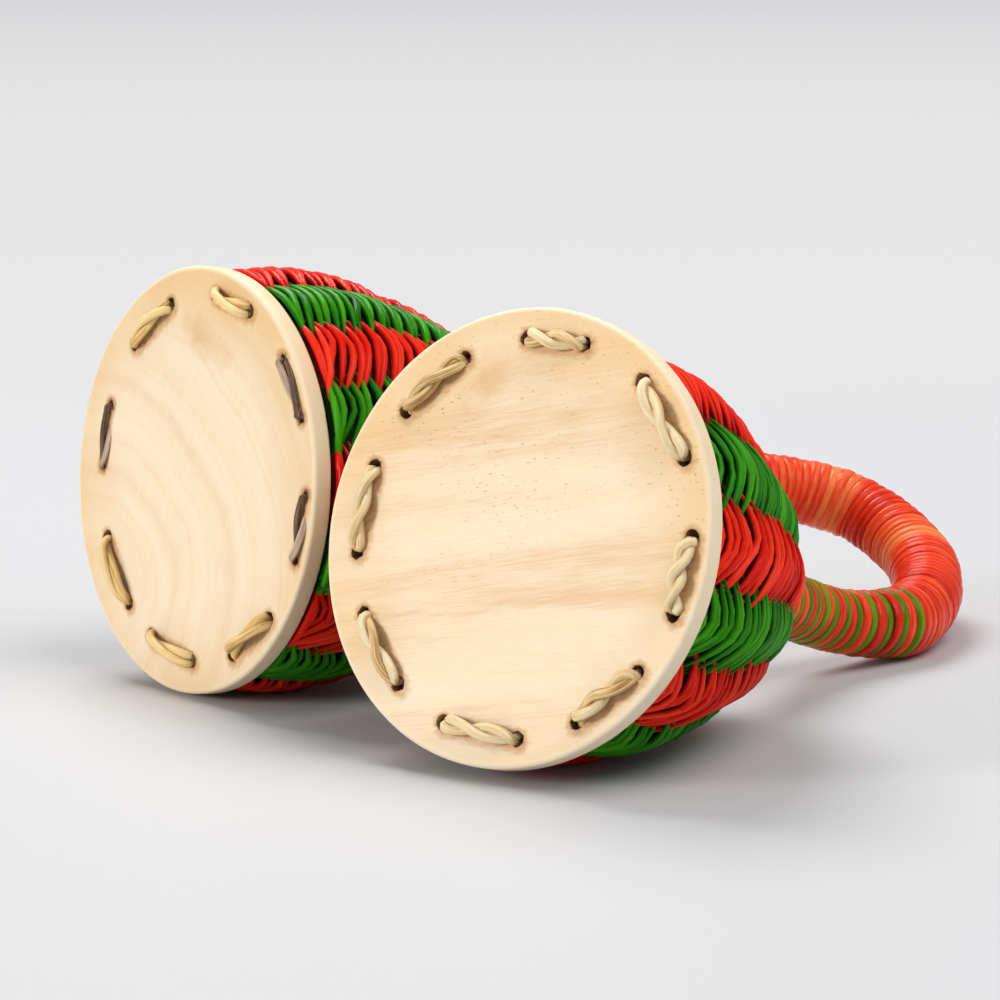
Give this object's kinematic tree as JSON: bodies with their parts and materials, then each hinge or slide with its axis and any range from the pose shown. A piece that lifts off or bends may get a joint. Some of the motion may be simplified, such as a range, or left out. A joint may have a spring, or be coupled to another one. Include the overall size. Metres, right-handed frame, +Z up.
{
  "type": "double caxixi shaker",
  "caption": "Pair of woven grass basket shakers in red and green bands, each closed by a stitched round wooden base, joined by one arched, wrapped handle.",
  "frame": {"origin": "bottom centre of the whole instrument as it lies, on the surface below it", "axes": "+Y from the bases to the handle's bow, +X to the right basket's side, +Z up"},
  "size_m": [0.1874, 0.206, 0.0897],
  "materials": {
    "pale_wood": "sanded, bare",
    "woven_grass": "satin dyed grass, red and green bands",
    "red_grass": "satin dyed grass",
    "green_grass": "satin dyed grass",
    "straw": "dry grass cord",
    "cane": "bare cane",
    "seed": "smooth seed coat"
  },
  "bodies": {
    "instrument": {"right_base_disc": "pale_wood", "right_basket": "woven_grass", "right_stake_1": "cane", "right_stake_2": "cane", "right_stake_3": "cane", "right_stake_4": "cane", "right_stake_5": "cane", "right_stake_6": "cane", "right_stake_7": "cane", "right_stake_8": "cane", "right_stake_9": "cane", "right_stake_10": "cane", "right_stake_11": "cane", "right_stake_12": "cane", "right_stake_13": "cane", "right_stake_14": "cane", "right_stake_15": "cane", "right_stake_16": "cane", "right_stitch_1": "straw", "right_stitch_2": "straw", "right_stitch_3": "straw", "right_stitch_4": "straw", "right_stitch_5": "straw", "right_stitch_6": "straw", "right_stitch_7": "straw", "right_stitch_8": "straw", "left_base_disc": "pale_wood", "left_basket": "woven_grass", "left_stake_1": "cane", "left_stake_2": "cane", "left_stake_3": "cane", "left_stake_4": "cane", "left_stake_5": "cane", "left_stake_6": "cane", "left_stake_7": "cane", "left_stake_8": "cane", "left_stake_9": "cane", "left_stake_10": "cane", "left_stake_11": "cane", "left_stake_12": "cane", "left_stake_13": "cane", "left_stake_14": "cane", "left_stake_15": "cane", "left_stake_16": "cane", "left_stake_17": "cane", "left_stake_18": "cane", "left_stitch_1": "straw", "left_stitch_2": "straw", "left_stitch_3": "straw", "left_stitch_4": "straw", "left_stitch_5": "straw", "left_stitch_6": "straw", "left_stitch_7": "straw", "left_stitch_8": "straw", "handle_core": "cane", "handle_wrap_red": "red_grass", "handle_wrap_green": "green_grass"},
    "right_seed_bed": {"right_seeds": "seed"},
    "left_seed_bed": {"left_seeds": "seed"}
  },
  "joints": [
    {"name": "right_seeds_slide", "type": "slide", "parent": "instrument", "child": "right_seed_bed", "axis": [0.1639, -0.9486, 0.2706], "range_m": [0, 0.018]},
    {"name": "left_seeds_slide", "type": "slide", "parent": "instrument", "child": "left_seed_bed", "axis": [-0.1075, -0.9894, 0.0976], "range_m": [0, 0.018]}
  ]
}
